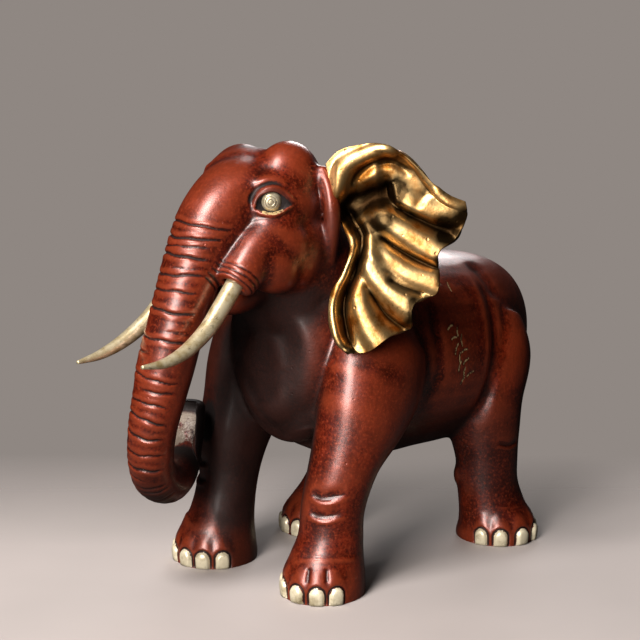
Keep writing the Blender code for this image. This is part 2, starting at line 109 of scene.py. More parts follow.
TORSO = [
    (0, -52, 118, 14, 20),
    (0, -46, 118, 30, 38),
    (0, -30, 121, 42, 50),
    (0, -8, 120, 50, 56),
    (0, 22, 114, 55, 59),
    (0, 52, 111, 57, 57),
    (0, 84, 109, 54, 56),
    (0, 108, 109, 44, 52),
    (0, 130, 108, 33, 45),
    (0, 146, 106, 22, 33),
    (0, 154, 104, 10, 16),
]
NECK = [
    (0, 14, 128, 40, 40),
    (0, -12, 146, 40, 38),
    (0, -30, 170, 37, 35),
    (0, -42, 192, 33, 32),
    (0, -48, 206, 24, 24),
]
TRUNK = [
    (0, -36, 206, 15, 12),
    (0, -52, 214, 19, 15),
    (0, -68, 213, 21.5, 19),
    (0, -83, 203, 20, 19),
    (0, -93, 190, 18, 17.5),
    (0, -101, 176, 16, 16),
    (0, -108, 160, 15, 15),
    (-1, -113, 144, 15, 15),
    (-3, -117, 128, 15, 15),
    (-5, -120, 112, 13.8, 13.8),
    (-8, -122, 96, 12.8, 12.8),
    (-12.5, -120, 79, 12.2, 12.2),
    (-18.5, -112, 65, 12, 12),
    (-26, -97, 57.5, 11.6, 11.6),
    (-34, -83, 60, 11.2, 11.2),
    (-41, -73, 71, 10.6, 10.6),
    (-44.5, -67, 84, 10.2, 10.2),
    (-45, -66, 93, 9.6, 9.6),
]
TAIL = [
    (0, 146, 128, 7, 6),
    (2, 155, 114, 6, 5),
    (5, 157, 94, 4.6, 4),
    (8, 153, 74, 4, 3.6),
    (8, 147, 58, 4.4, 4),
    (8, 142, 44, 6, 5),
    (8, 139, 34, 3, 2.6),
]
# The head is turned a little: its right side lies this much further back.
RIGHT_SET_BACK = 4
EYE_CENTRE = (24.5, -68, 211.5)


def smooth_between(values, share):
    """Catmull-Rom curve through rows of values, at share 0 to 1 of the way along."""
    last = len(values) - 1
    place = min(max(share, 0.0), 1.0) * last
    i = min(int(place), last - 1)
    t = place - i
    a, b, c, d = [np.array(values[min(max(k, 0), last)], float) for k in range(i - 1, i + 3)]
    bend = 2 * a - 5 * b + 4 * c - d
    twist = 3 * b - a - 3 * c + d
    return 0.5 * (2 * b + (c - a) * t + bend * t**2 + twist * t**3)


def ring_frame(centre, tangent):
    """Places a ring across the path: its local X stays as near the statue's X as it can."""
    along = tangent.normalized()
    side = (Vector((1, 0, 0)) - along * along.x).normalized()
    turned = Matrix((side, along.cross(side), along)).transposed().to_4x4()
    return Matrix.Translation(centre) @ turned


def smooth_path(values, steps):
    """The same curve as a list of places."""
    return [smooth_between(values, i / steps) for i in range(steps + 1)]


def loft(bm, stations, rings=None, segments=40):
    """Bridges elliptical rings along the stations and closes both ends."""
    rings = rings or 6 * len(stations)
    loops = []
    for i in range(rings):
        share = i / (rings - 1)
        x, y, z, wide, deep = smooth_between(stations, share)
        before = smooth_between(stations, share - 0.01)[:3]
        after = smooth_between(stations, share + 0.01)[:3]
        place = ring_frame(Vector((x, y, z)), Vector(after - before))
        place = place @ Matrix.Diagonal((wide, deep, 1, 1))
        made = bmesh.ops.create_circle(bm, cap_ends=False, segments=segments, radius=1, matrix=place)
        loops.append(list({e for v in made["verts"] for e in v.link_edges}))
    for lower, upper in zip(loops, loops[1:]):
        bmesh.ops.bridge_loops(bm, edges=lower + upper)
    for end in (loops[0], loops[-1]):
        bmesh.ops.edgeloop_fill(bm, edges=end)


def to_frame(bm):
    """Moves what was laid out on the tables' grid, in millimetres, to the frame, in metres."""
    bmesh.ops.translate(bm, verts=bm.verts, vec=GRID_SHIFT)
    bmesh.ops.scale(bm, verts=bm.verts, vec=(MM, MM, MM))


def ball(bm, centre, radii, turn=(0, 0, 0)):
    """An ellipsoid of clay, turned about X, Y and Z by the angles given in degrees."""
    place = Matrix.Translation(centre)
    for axis, angle in zip("XYZ", turn):
        place = place @ Matrix.Rotation(math.radians(angle), 4, axis)
    place = place @ Matrix.Diagonal((*radii, 1))
    bmesh.ops.create_uvsphere(bm, u_segments=40, v_segments=24, radius=1, matrix=place)


def add_head(bm):
    """The two domes, forehead and chin, then each side's temple, cheek, brow, eye and folds."""
    ball(bm, (15, -47, 217), (17, 20, 23.5))
    ball(bm, (-17, -50, 214), (17, 20, 22.5))
    ball(bm, (0, -44, 201), (33, 32, 30))
    ball(bm, (-3, -50, 221), (19, 19, 14))
    ball(bm, (-9, -57, 217.5), (22, 22, 17.5), (15, 0, 0))
    ball(bm, (0, -62, 163), (15, 26, 11.5), (18, 0, 0))
    for side, back in ((1, 0), (-1, RIGHT_SET_BACK)):
        ball(bm, (side * 21, -55 + back, 207), (13, 24, 18), (0, 0, side * -8))
        ball(bm, (side * 23, -47 + back, 184), (14, 22, 23))
        ball(bm, (side * 23.5, -60 + back, 188), (14.5, 22, 15), (-32, 0, 0))
        ball(bm, (side * 22.5, -67 + back, 179.5), (15, 20, 15.5), (-40, 0, 0))
        ball(bm, (side * 21, -64 + back, 219), (8, 12, 7), (0, 0, side * -20))
        ex, ey, ez = EYE_CENTRE
        ball(bm, (side * ex, ey + back, ez), (7.6, 7.6, 7.6))
        cheek = [
            (side * 19, -58 + back, 203, 15, 14),
            (side * 21, -68 + back, 193, 14, 13),
            (side * 22, -78 + back, 184.5, 12.5, 12.5),
            (side * 22.5, -86 + back, 177, 11.5, 11.5),
            (side * 22.5, -92.5 + back, 170, 10.5, 10.5),
        ]
        loft(bm, cheek)
        ear_fold = [
            (side * 31, -38, 228, 3.4, 3.4),
            (side * 35.5, -38, 219, 4.4, 4.4),
            (side * 38, -37.5, 208, 4.8, 4.8),
            (side * 38, -37, 194, 4.4, 4.4),
            (side * 34, -35, 176, 3.4, 3.4),
        ]
        loft(bm, ear_fold)


def mesh_of(bm, name):
    bmesh.ops.recalc_face_normals(bm, faces=bm.faces)
    mesh = bpy.data.meshes.new(name)
    bm.to_mesh(mesh)
    bm.free()
    mesh.shade_smooth()
    return mesh


def add_object(name, mesh):
    made = bpy.data.objects.new(name, mesh)
    bpy.context.scene.collection.objects.link(made)
    return made


def bake_modifiers(made):
    """Gives the object the mesh that its modifiers make, and takes them off."""
    bpy.context.view_layer.update()
    graph = bpy.context.evaluated_depsgraph_get()
    mesh = bpy.data.meshes.new_from_object(made.evaluated_get(graph))
    made.modifiers.clear()
    made.data = mesh
    return mesh


def read_mesh(mesh):
    """The mesh's points and normals as arrays of three columns."""
    points = np.empty(len(mesh.vertices) * 3, np.float32)
    mesh.vertices.foreach_get("co", points)
    normals = np.empty(len(mesh.vertices) * 3, np.float32)
    mesh.vertices.foreach_get("normal", normals)
    return points.reshape(-1, 3), normals.reshape(-1, 3)


def write_mesh(mesh, points):
    mesh.vertices.foreach_set("co", points.astype(np.float32).ravel())
    mesh.update()


def soft_step(value, low, high):
    """0 below low, 1 above high and a smooth rise between them."""
    t = np.clip((value - low) / (high - low), 0, 1)
    return t * t * (3 - 2 * t)


def bell(value):
    """1 at 0, falling smoothly to 0 on both sides."""
    return np.exp(-(value**2))


def along_line(points, line):
    """Distance from each point to a line, and how far along the line its nearest place is."""
    nearest = np.full(len(points), 1e9, np.float32)
    share = np.zeros(len(points), np.float32)
    for k, (a, b) in enumerate(zip(line, line[1:])):
        a = np.array(a, np.float32)
        step = np.array(b, np.float32) - a
        t = np.clip(((points - a) @ step) / (step @ step), 0, 1)
        gap = np.linalg.norm(points - a - t[:, None] * step, axis=1)
        closer = gap < nearest
        nearest[closer] = gap[closer]
        share[closer] = (k + t[closer]) / (len(line) - 1)
    return nearest, share


# What the strokes leave on the points: black in the lines and in painted shade, silvered nails,
# bare metal, gold leaf and the painted shade of the chest, belly and legs.
MARKS = ("grime_and_shade", "silver", "bare", "gold", "painted_shade")


class Carving:
    """The body's points while they are chased, with what each stroke leaves on them."""

    def __init__(self, mesh):
        self.points, self.normals = read_mesh(mesh)
        count = len(self.points)
        self.marks = {name: np.zeros(count, np.float32) for name in MARKS}

    def near(self, centre, reach):
        away = ((self.points - np.array(centre, np.float32)) ** 2).sum(1)
        return np.flatnonzero(away < reach * reach)

    def mark(self, name, chosen, strength):
        """Marks the chosen points, where they aren't marked more strongly already."""
        self.marks[name][chosen] = np.maximum(self.marks[name][chosen], strength)

    def press(self, chosen, depth, grime_and_shade=0.0):
        """Presses the chosen points in by depth, and darkens them by a share of the stroke."""
        depth = depth.astype(np.float32)
        self.points[chosen] -= self.normals[chosen] * depth[:, None]
        if grime_and_shade:
            self.mark("grime_and_shade", chosen, np.clip(depth, 0, None) * grime_and_shade)

    def push_back(self, chosen, direction, far):
        self.points[chosen] -= (direction * far[:, None]).astype(np.float32)

    def stroke(self, line, width, depth, grime_and_shade=0.0, taper=0.12, lip=0.0):
        """A chased line. A lip raises its lower edge by a share of the depth."""
        path = smooth_path(line, 24)
        middle = np.mean(path, axis=0)
        reach = max(np.linalg.norm(np.array(p) - middle) for p in path) + 4 * width
        chosen = self.near(middle, reach)
        gap, share = along_line(self.points[chosen], path)
        ends = soft_step(share, 0, taper) * (1 - soft_step(share, 1 - taper, 1))
        ends = np.maximum(ends, 0.04)
        cut = depth * bell(gap / width) * ends
        if lip:
            places = np.array([smooth_between(path, s)[2] for s in np.linspace(0, 1, 60)])
            line_height = places[np.clip((share * 59).astype(int), 0, 59)]
            under = soft_step(line_height - self.points[chosen][:, 2], 0, width)
            roll = bell((gap - width * 0.6) / (width * 0.5))
            cut = cut * (1 - under) - lip * depth * roll * under * ends
        self.press(chosen, cut, grime_and_shade)


# Wrinkles round the front of the trunk: (distance along it from the forehead, depth, where it
# starts and where it ends round the trunk, in degrees towards the statue's left from its front).
TRUNK_WRINKLES = [
    (66, 1.0, -110, 92),
    (73, 1.2, -100, 84),
    (77.5, 0.8, -80, 70),
    (82, 1.2, -110, 78),
    (87, 0.5, 0, 80),
    (91, 1.0, -100, 82),
    (99, 1.1, -110, 78),
    (108, 1.3, -110, 84),
    (117, 0.4, 20, 80),
    (122, 1.2, -110, 88),
    (130, 0.7, -100, 10),
    (141, 1.2, -110, 85),
    (147, 0.8, -10, 88),
    (154, 1.2, -110, 78),
    (162, 1.2, -110, 84),
    (170, 1.2, -110, 80),
    (179, 0.9, -60, 88),
    (187, 1.2, -110, 82),
    (193, 0.7, -100, 30),
    (197, 0.6, -10, 80),
    (201, 1.1, -110, 84),
    (208, 0.8, -110, 82),
    (215, 0.7, -100, 60),
    (223, 0.7, -110, 50),
]
WRINKLE_WIDTH = 0.62
# The highest wrinkles hang down at the sides by up to twice this much.
WRINKLE_LEVELLING = 6.0
# A wrinkle wavers: (how far, waves in a radian round the trunk, shift from one to the next).
WRINKLE_WAVES = ((0.55, 2.1, 1.7), (0.22, 7, 2.3))
# The skin stands up between wrinkles: share of the depth, distance from the line, width.
WRINKLE_PUFF = (0.22, 2.0, 1.3)
# The scooped tip: which way it opens, where it runs along the trunk, and how far its floor lies
# behind the trunk's middle.
SCOOP_FACING = (0.45, -0.85, 0.0)
SCOOP_REACH = (228, 281)
SCOOP_FLOOR = 2.5


def carve_trunk(work):
    """Wrinkles across the front and sides of the trunk, and the scooped tip."""
    chosen = np.flatnonzero((work.points[:, 1] < -48) & (work.points[:, 2] > 40))
    points = work.points[chosen]
    shares = np.linspace(0, 1, 500)
    centres = np.array([smooth_between(TRUNK, t)[:4] for t in shares])
    line = centres[:, :3]
    steps = np.linalg.norm(np.diff(line, axis=0), axis=1)
    along = np.concatenate([[0], np.cumsum(steps)])
    ahead = np.gradient(line, axis=0)
    ahead /= np.linalg.norm(ahead, axis=1)[:, None]
    front = np.cross(ahead, np.array([1.0, 0, 0]))
    front /= np.linalg.norm(front, axis=1)[:, None]
    left = np.cross(front, ahead)
    near = np.full(len(points), 1e9)
    place = np.zeros(len(points), int)
    for k in range(len(shares)):
        gap = ((points - line[k]) ** 2).sum(1)
        closer = gap < near
        near[closer] = gap[closer]
        place[closer] = k
    radius = np.sqrt(near)
    on_trunk = 1 - soft_step(radius / centres[place, 3], 1.15, 1.45)
    offset = points - line[place]
    forward = (offset * front[place]).sum(1)
    leftward = (offset * left[place]).sum(1)
    round_it = np.degrees(np.arctan2(leftward, forward))
    travelled = along[place] + (offset * ahead[place]).sum(1)
    depth = np.zeros(len(points))
    puff = np.zeros(len(points))
    raised, puff_place, puff_width = WRINKLE_PUFF
    for k, (distance, deep, start, end) in enumerate(TRUNK_WRINKLES):
        wave = sum(far * np.sin(np.radians(round_it * often) + shift * k)
                   for far, often, shift in WRINKLE_WAVES)
        level = WRINKLE_LEVELLING * float(soft_step(150 - distance, 0, 80))
        gap = travelled - distance - wave + level * (1 - np.cos(np.radians(round_it)))
        shown = soft_step(round_it, start, start + 25) * (1 - soft_step(round_it, end - 22, end))
        width = WRINKLE_WIDTH * (0.8 + 0.25 * math.sin(k * 2.7))
        depth = np.maximum(depth, 0.85 * deep * shown * bell(gap / width))
        beside = bell((np.abs(gap) - puff_place) / puff_width)
        puff = np.maximum(puff, raised * deep * shown * beside)
    cut = (depth - puff * (depth < 0.2)) * on_trunk
    work.press(chosen, cut, 0.85)
    mouth = np.array(SCOOP_FACING)
    mouth /= np.linalg.norm(mouth)
    rise = offset @ mouth
    flank = np.cross(ahead[place], mouth)
    sideways = (offset * flank).sum(1)
    start, end = SCOOP_REACH
    inside = soft_step(along[place], start, start + 8) * (1 - soft_step(along[place], end - 3, end))
    inside *= (1 - soft_step(np.abs(sideways), 4.5, 7.5)) * on_trunk * (rise > 0)
    work.push_back(chosen, mouth, inside * (rise + SCOOP_FLOOR))
    pale = soft_step(along[place], start + 14, start + 20)
    pale *= 1 - soft_step(along[place], end - 16, end - 10)
    work.mark("bare", chosen, pale * soft_step(inside, 0.3, 0.8))
    # Painted shade: the trunk's tip is darkened all round, and so is the inside of the scoop outside its
    # bare patch.
    walls = 0.8 * soft_step(along[place], start - 6, start + 8) * (radius < centres[place, 3] * 1.6)
    work.mark("grime_and_shade", chosen, walls * (1 - pale * inside))
    work.mark("grime_and_shade", chosen, 0.6 * inside * (1 - pale))


# Folds round the eye, each as (distance back from the eye's middle, height over it), with its
# width, its depth (below 0 for a raised roll) and how dark it is.
EYE_FACING = (0.80, -0.60)
EYE_FOLDS = [
    ([(-11, -2.4), (-10.2, 3), (-6.6, 7.6), (0.4, 10), (7.6, 7.8), (12.8, 3.4), (17.5, -1.6)],
     1.3, 1.5, 0.75),
    ([(-9.6, -3.8), (-8.2, 1), (-5.1, 5.3), (0.4, 7.4), (6.2, 5.4), (10.2, 1.8), (14.6, -2.4)],
     1.1, -0.8, 0),
    ([(-8.5, -4.4), (-3.5, -6.2), (0.4, -6.6), (4.2, -5.6), (8.0, -3.4), (12, -2.2)], 0.9, -1.2, 0),
    ([(-9, 14), (-3, 18), (4, 18.5), (11, 14), (15, 7)], 4.0, -1.4, 0),
]
# The opening between the lids, and how far out from the eye's middle its floor lies.
EYE_ALMOND = [(-8.6, -3.4), (-7, 1.2), (-4.6, 3.8), (0.2, 5.4), (4.8, 4), (7.4, 1.6), (11, -2)]
EYE_ALMOND_UNDER = [(-8.6, -3.4), (-3.4, -5.2), (0.4, -5.6), (4, -4.8), (7.4, -3.4), (11, -2)]
EYE_RECESS = 3.1


def carve_eyes(work):
    """Eyelids, and the almond-shaped recess that the silver ball sits in."""
    for side, back in ((1, 0), (-1, RIGHT_SET_BACK)):
        middle = np.array([side * EYE_CENTRE[0], EYE_CENTRE[1] + back, EYE_CENTRE[2]])
        outward = np.array([side * EYE_FACING[0], EYE_FACING[1], 0.0])
        backward = np.array([side * -EYE_FACING[1], EYE_FACING[0], 0.0])
        chosen = work.near(middle, 30)
        offset = work.points[chosen] - middle
        out = offset @ outward
        flat = np.stack([offset @ backward, offset[:, 2]], axis=1).astype(np.float32)
        facing = soft_step(out, 0, 3)
        upper = np.array(smooth_path(EYE_ALMOND, 30))
        under = np.array(smooth_path(EYE_ALMOND_UNDER, 30))
        top = np.interp(flat[:, 0], upper[:, 0], upper[:, 1], left=-50, right=-50)
        bottom = np.interp(flat[:, 0], under[:, 0], under[:, 1], left=50, right=50)
        within = np.minimum(top - flat[:, 1], flat[:, 1] - bottom)
        open_eye = soft_step(within, -0.1, 0.5) * facing
        for line, width, depth, grime_and_shade in EYE_FOLDS:
            gap, share = along_line(flat, smooth_path(line, 20))
            ends = soft_step(share, 0, 0.15) * (1 - soft_step(share, 0.85, 1))
            cut = depth * bell(gap / width) * facing * np.maximum(ends, 0.15) * (1 - open_eye)
            work.press(chosen, cut, grime_and_shade)
        # A thin line of gold colour on the lower lid, and painted shade, a dark band, under the upper
        # lid.
        edge = along_line(flat, [tuple(row) for row in under[:22]])[0]
        below = soft_step(bottom + 0.7 - flat[:, 1], 0, 0.7) * (1 - soft_step(np.abs(flat[:, 0]), 4, 7))
        work.mark("gold", chosen, 2.2 * bell((edge + 0.4) / 0.9) * facing * below)
        lid = along_line(flat, [tuple(row) for row in upper])[0]
        work.mark("grime_and_shade", chosen, 0.58 * bell(lid / 3.0) * facing * soft_step(flat[:, 1], -3, 0))
        work.push_back(chosen, outward, np.maximum(out - EYE_RECESS, 0) * open_eye)
        # Painted shade: the recess round the ball is made black.
        work.mark("grime_and_shade", chosen, open_eye)


LIP_RINGS = 5
LIP_RING_STEP = 2.9
LIP_RING_DEPTH = 0.9
# Radius of the socket that holds the tusk, with its clearance.
TUSK_ROOM = 5.2


def carve_lips(work):
    """Rolled rings of skin round the mouth of each tusk's socket, and the socket itself."""
    for side, back in ((1, 0), (-1, RIGHT_SET_BACK)):
        mouth = np.array([side * 22.5, -92.5 + back, 170.0])
        axis = mouth - np.array([side * 22, -78 + back, 184.5])
        axis /= np.linalg.norm(axis)
        chosen = work.near(mouth, 24)
        offset = work.points[chosen] - mouth
        along = offset @ axis
        away = np.linalg.norm(offset - along[:, None] * axis, axis=1)
        near = (1 - soft_step(away, 13, 16)) * soft_step(work.points[chosen][:, 2], 160, 166)
        front = soft_step(-offset[:, 1] + 0.5 * side * offset[:, 0], -14, -6)
        rings = np.zeros(len(chosen))
        for i in range(LIP_RINGS):
            wave = 0.25 * np.sin(np.arctan2(offset[:, 0], offset[:, 2]) * 3 + i)
            gap = (along - 4.6 + i * LIP_RING_STEP + wave) / 0.55
            rings = np.maximum(rings, np.exp(-gap * gap) * (1 - 0.12 * i))
        cut = LIP_RING_DEPTH * rings * near * front * (away > TUSK_ROOM + 2)
        work.press(chosen, cut, 0.85)
        rim = soft_step(TUSK_ROOM + 1.6 - away, 0, 1.2) * (along > 0)
        work.push_back(chosen, axis, rim * 3.0)
        work.mark("grime_and_shade", chosen, rim)


# Creases of the skin on the left side, which the right side repeats: line, width, depth,
# darkness and how far its lower edge is raised.
BODY_CREASES = [
    ([(44, 32, 150), (52, 30, 135), (57, 30, 121), (57, 28, 107), (52, 18, 94)], 4.0, 1.6, 0.05, 0),
    ([(34, 84, 154), (46, 84, 141), (54, 79, 120), (55, 75, 101), (51, 72, 83), (46, 69, 70)],
     4.5, 2.2, 0.05, 0),
    ([(30, 79, 156), (44, 76, 146), (53, 72, 130), (56, 69, 114), (55, 67, 98)], 3.5, -0.8, 0, 0),
    ([(20, 92, 160), (33, 94, 150), (42, 92, 138)], 7.0, 1.8, 0.05, 0),
    ([(40, -58, 57), (46, -57, 55.6), (52, -54, 55.6), (59, -45, 58.5)], 3.6, 1.7, 0.05, 0.45),
    ([(41, -59, 47), (46, -57, 45.8), (52, -55, 45.6), (58, -46, 48)], 3.4, 1.5, 0.05, 0.45),
    ([(36, -66, 22), (45, -63, 25), (54, -58, 26), (60, -49, 25), (63, -38, 23)], 3.6, 0.5, 0.03, 0.9),
    ([(48.5, -65, 20), (50, -67, 11)], 1.1, 0.9, 0.45, 0),
    ([(56, -59, 20), (58, -61, 12)], 1.1, 0.8, 0.4, 0),
    ([(57, 78, 60), (58, 88, 57), (56, 98, 58)], 2.2, 0.9, 0.10, 0.3),
    ([(58, 76, 24), (64, 86, 23), (64, 98, 22)], 2.4, 1.3, 0.10, 0.5),
    ([(36, -37, 160), (34, -46, 150), (28, -55, 146)], 3.0, 1.2, 0.08, 0),
    ([(44, -34, 118), (48, -28, 104), (56, -22, 96)], 4.0, 0.8, 0.04, 0),
]
# Creases that are on one side only.
SINGLE_CREASES = [
    ([(-25, -49, 122), (-13, -52, 108), (0, -52, 91), (7, -38, 76)], 5.0, 1.0, 0.03, 0),
    ([(14, -48, 120), (20, -46, 100), (22, -40, 84)], 5.0, 0.8, 0.03, 0),
]
MOUTH_LINE = [(15, -62, 167), (17, -74, 160), (12, -83, 153)]


def carve_creases(work):
    for line, width, depth, grime_and_shade, lip in BODY_CREASES:
        for side in (1, -1):
            work.stroke([(side * x, y, z) for x, y, z in line], width, depth, grime_and_shade, taper=0.3, lip=lip)
    for line, width, depth, grime_and_shade, lip in SINGLE_CREASES:
        work.stroke(line, width, depth, grime_and_shade, lip=lip)
    for side in (1, -1):
        work.stroke([(side * x, y, z) for x, y, z in MOUTH_LINE], 1.2, 1.8, 0.8)


# Toenails: (centre of the foot x, y, its radius, bearings of its nails from straight ahead).
FEET = {
    "left_fore": (42, -47, 22, (-58, -27, 5, 35, 63)),
    "right_fore": (-42, -49, 23, (-56, -28, 2, 29, 57)),
    "left_hind": (45, 92, 23, (18, 48, 81, 113, 145)),
    "right_hind": (-38, 28, 21.5, (-48, -18, 11, 40, 70)),
}
NAIL_WIDTH = 8.0
NAIL_HEIGHT = 9.6
NAIL_RISE = 1.1
NAIL_GROOVE = 1.1
TOE_RISE = 0.9


def carve_nails(work):
    """Raises a domed nail over each toe, with a groove round it, and marks it for silvering."""
    points = work.points
    for x, y, radius, bearings in FEET.values():
        around = np.hypot(points[:, 0] - x, points[:, 1] - y)
        chosen = np.flatnonzero((around < radius * 1.35) & (points[:, 2] < 19))
        dx = points[chosen, 0] - x
        dy = points[chosen, 1] - y
        reach = np.hypot(dx, dy)
        outer = (reach > radius * 0.6) & (points[chosen, 2] > 0.3)
        angle = np.degrees(np.arctan2(dx, -dy))
        push = np.zeros(len(chosen))
        silver = np.zeros(len(chosen))
        grime_and_shade = np.zeros(len(chosen))
        for middle in bearings:
            off = (angle - middle + 180) % 360 - 180
            sideways = np.radians(off) * radius / (NAIL_WIDTH / 2)
            straight = NAIL_HEIGHT * 0.55
            upward = np.maximum(points[chosen, 2] - straight, 0) / (NAIL_HEIGHT - straight)
            shape = np.hypot(sideways, upward)
            toe = np.hypot(np.radians(off) * radius / 5.4, (points[chosen, 2] - 9) / 9)
            groove = bell((shape - 1.16) / 0.13)
            push += TOE_RISE * (1 - soft_step(toe, 0.3, 1.3))
            push += NAIL_RISE * (1 - soft_step(shape, 0.7, 1.0))
            push -= NAIL_GROOVE * groove
            silver = np.maximum(silver, 1 - soft_step(shape, 0.96, 1.05))
            grime_and_shade = np.maximum(grime_and_shade, 0.9 * groove)
        push *= outer
        points[chosen, 0] += (push * dx / np.maximum(reach, 1)).astype(np.float32)
        points[chosen, 1] += (push * dy / np.maximum(reach, 1)).astype(np.float32)
        work.mark("silver", chosen, silver * outer)
        work.mark("grime_and_shade", chosen, grime_and_shade * outer)


# Shallow gilt strokes on the left flank, where the real one has an engraved mark. They are rows
# of plain dashes: (height up the flank, place along it, slant, length).
FLANK_MARK = [
    (133, 41, 20, 5),
    (130, 46, 75, 5),
    (127, 42, 10, 4),
    (125, 48, 80, 6),
    (121, 43, 60, 6),
    (119, 49, 15, 5),
    (116, 45, 80, 5),
    (113, 50, 30, 5),
    (111, 45, 70, 6),
    (107, 49, 85, 5),
    (105, 54, 20, 6),
    (102, 48, 60, 4),
    (156, 50, 60, 4),
    (152, 55, 70, 4),
]


def carve_flank_mark(work):
    x, y, z = work.points.T
    chosen = np.flatnonzero((x > 25) & (y > 28) & (y < 72) & (z > 90) & (z < 166))
    flat = work.points[chosen][:, 1:]
    for height, place, slant, length in FLANK_MARK:
        turn = math.radians(slant)
        middle = np.array([place, height], np.float32)
        half = np.array([math.cos(turn), math.sin(turn)], np.float32) * length / 2
        bend = np.array([-half[1], half[0]], np.float32) * 0.25
        gap, share = along_line(flat, [middle - half, middle + bend, middle + half])
        work.press(chosen, 0.35 * bell(gap / 0.5))
        work.mark("gold", chosen, bell(gap / 0.55))


def paint_shade(work):
    """Painted shade: the chest, belly, between the legs, the foreleg by the trunk, behind the
    cheeks and the hind legs are darkened where the head, trunk and body shade them. Soot is a
    guess, and some of it may be shade."""
    x, y, z = work.points.T
    under_head = (1 - soft_step(np.abs(x), 24, 44)) * soft_step(z, 30, 70) * (1 - soft_step(z, 156, 172))
    chest = under_head * soft_step(y, -76, -66) * (1 - soft_step(y, -12, 10))
    by_trunk = soft_step(-x, 0, 16) * soft_step(z, 12, 40) * (1 - soft_step(z, 126, 154))
    by_trunk *= soft_step(y, -75, -67) * (1 - soft_step(y, -16, 10))
    belly = soft_step(-work.normals[:, 2], 0.2, 0.8) * (1 - soft_step(z, 80, 100)) * soft_step(z, 20, 40)
    inner = soft_step(-np.sign(x) * work.normals[:, 0], 0.2, 0.8) * soft_step(np.abs(x), 6, 16)
    inner *= (1 - soft_step(z, 70, 110)) * (y > -60)
    by_ear = soft_step(y, -57, -44) * (1 - soft_step(y, -36, -26)) * soft_step(np.abs(x), 18, 30)
    by_ear *= soft_step(z, 140, 160) * (1 - soft_step(z, 200, 218))
    hind = soft_step(y, 40, 75) * soft_step(z, 22, 36) * (1 - soft_step(z, 66, 100))
    soot_and_shade = chest + belly + 0.7 * inner + 0.8 * by_trunk + 0.6 * by_ear + 0.5 * hind
    work.marks["painted_shade"][:] = 0.92 * np.clip(soot_and_shade, 0, 1)


def height_over_smooth(mesh, rounds):
    """How far each point stands out of (above 0) or lies in (below 0) its smoothed surroundings."""
    points, normals = read_mesh(mesh)
    ends = np.empty(len(mesh.edges) * 2, np.int32)
    mesh.edges.foreach_get("vertices", ends)
    a, b = ends[0::2], ends[1::2]
    count = len(points)
    neighbours = np.bincount(a, minlength=count) + np.bincount(b, minlength=count)
    soft = points.astype(float)
    for i in range(rounds):
        total = np.empty_like(soft)
        for axis in range(3):
            column = soft[:, axis]
            total[:, axis] = np.bincount(a, column[b], count) + np.bincount(b, column[a], count)
        soft = 0.5 * soft + 0.5 * total / neighbours[:, None]
    return ((points - soft) * normals).sum(1)


def store(mesh, name, values):
    layer = mesh.attributes.get(name) or mesh.attributes.new(name, "FLOAT", "POINT")
    layer.data.foreach_set("value", np.asarray(values, np.float32))


clay = bmesh.new()
for stations in (TORSO, NECK, TRUNK, TAIL, *LEGS.values()):
    loft(clay, stations)
add_head(clay)
# The breast, and a bulge over the front of each hind foot.
ball(clay, (0, -32, 104), (32, 18, 32))
ball(clay, (34, 78, 37), (8, 7, 9))
ball(clay, (-36, 36, 40), (8, 7, 9))
body = add_object("cast_body", mesh_of(clay, "cast_body"))
fused = body.modifiers.new("fuse", "REMESH")
fused.mode = "VOXEL"
fused.voxel_size = BODY_VOXEL
softened = body.modifiers.new("soften", "SMOOTH")
softened.factor = 0.5
softened.iterations = BODY_SOFTENING
body_mesh = bake_modifiers(body)
# The brow and forehead are rubbed once more, but not the eyeball's surroundings.
brow = body.vertex_groups.new(name="brow")
for v in body_mesh.vertices:
    x, y, z = v.co
    if z > 206 and y < -30:
        over_eye = min(max((math.dist((abs(x), y, z), EYE_CENTRE) - 11) / 5, 0.0), 1.0)
        brow.add([v.index], min((z - 206) / 8, 1.0) * over_eye, "REPLACE")
rubbed = body.modifiers.new("soften_brow", "SMOOTH")
rubbed.factor = 0.5
rubbed.iterations = BROW_SOFTENING
rubbed.vertex_group = "brow"
body_mesh = bake_modifiers(body)
body.vertex_groups.clear()
chased = Carving(body_mesh)
carve_trunk(chased)
carve_creases(chased)
carve_eyes(chased)
carve_lips(chased)
carve_nails(chased)
carve_flank_mark(chased)
paint_shade(chased)
chased.points[:, 2] = np.maximum(chased.points[:, 2], 0)
write_mesh(body_mesh, (chased.points + np.array(GRID_SHIFT, np.float32)) * MM)
for name, values in chased.marks.items():
    store(body_mesh, name, values)
thinned = body.modifiers.new("fewer_faces", "DECIMATE")
thinned.ratio = BODY_TRIANGLES / (2 * len(body_mesh.polygons))
body_mesh = bake_modifiers(body)
body_mesh.shade_smooth()
store(body_mesh, "relief", height_over_smooth(body_mesh, 12) / MM)


def linear(hex_colour):
    """An sRGB hex colour as the linear values that the shader reads."""
    parts = [int(hex_colour[i : i + 2], 16) / 255 for i in (1, 3, 5)]
    return (*[p / 12.92 if p <= 0.04045 else ((p + 0.055) / 1.055) ** 2.4 for p in parts], 1.0)


def node(tree, kind, settings=None, links=None):
    """Adds a node. Settings name its properties or sockets; links give what feeds a socket."""
    made = tree.nodes.new(kind)
    for key, value in (settings or {}).items():
        if isinstance(key, int):
            made.inputs[key].default_value = value
        elif hasattr(made, key):
            setattr(made, key, value)
        else:
            made.inputs[key].default_value = value
    for key, source in (links or {}).items():
        tree.links.new(source, made.inputs[key])
    return made


def new_material(name):
    material = bpy.data.materials.new(name)
    material.use_nodes = True
    tree = material.node_tree
    place = node(tree, "ShaderNodeTexCoord").outputs["Object"]
    return material, tree, tree.nodes["Principled BSDF"], place


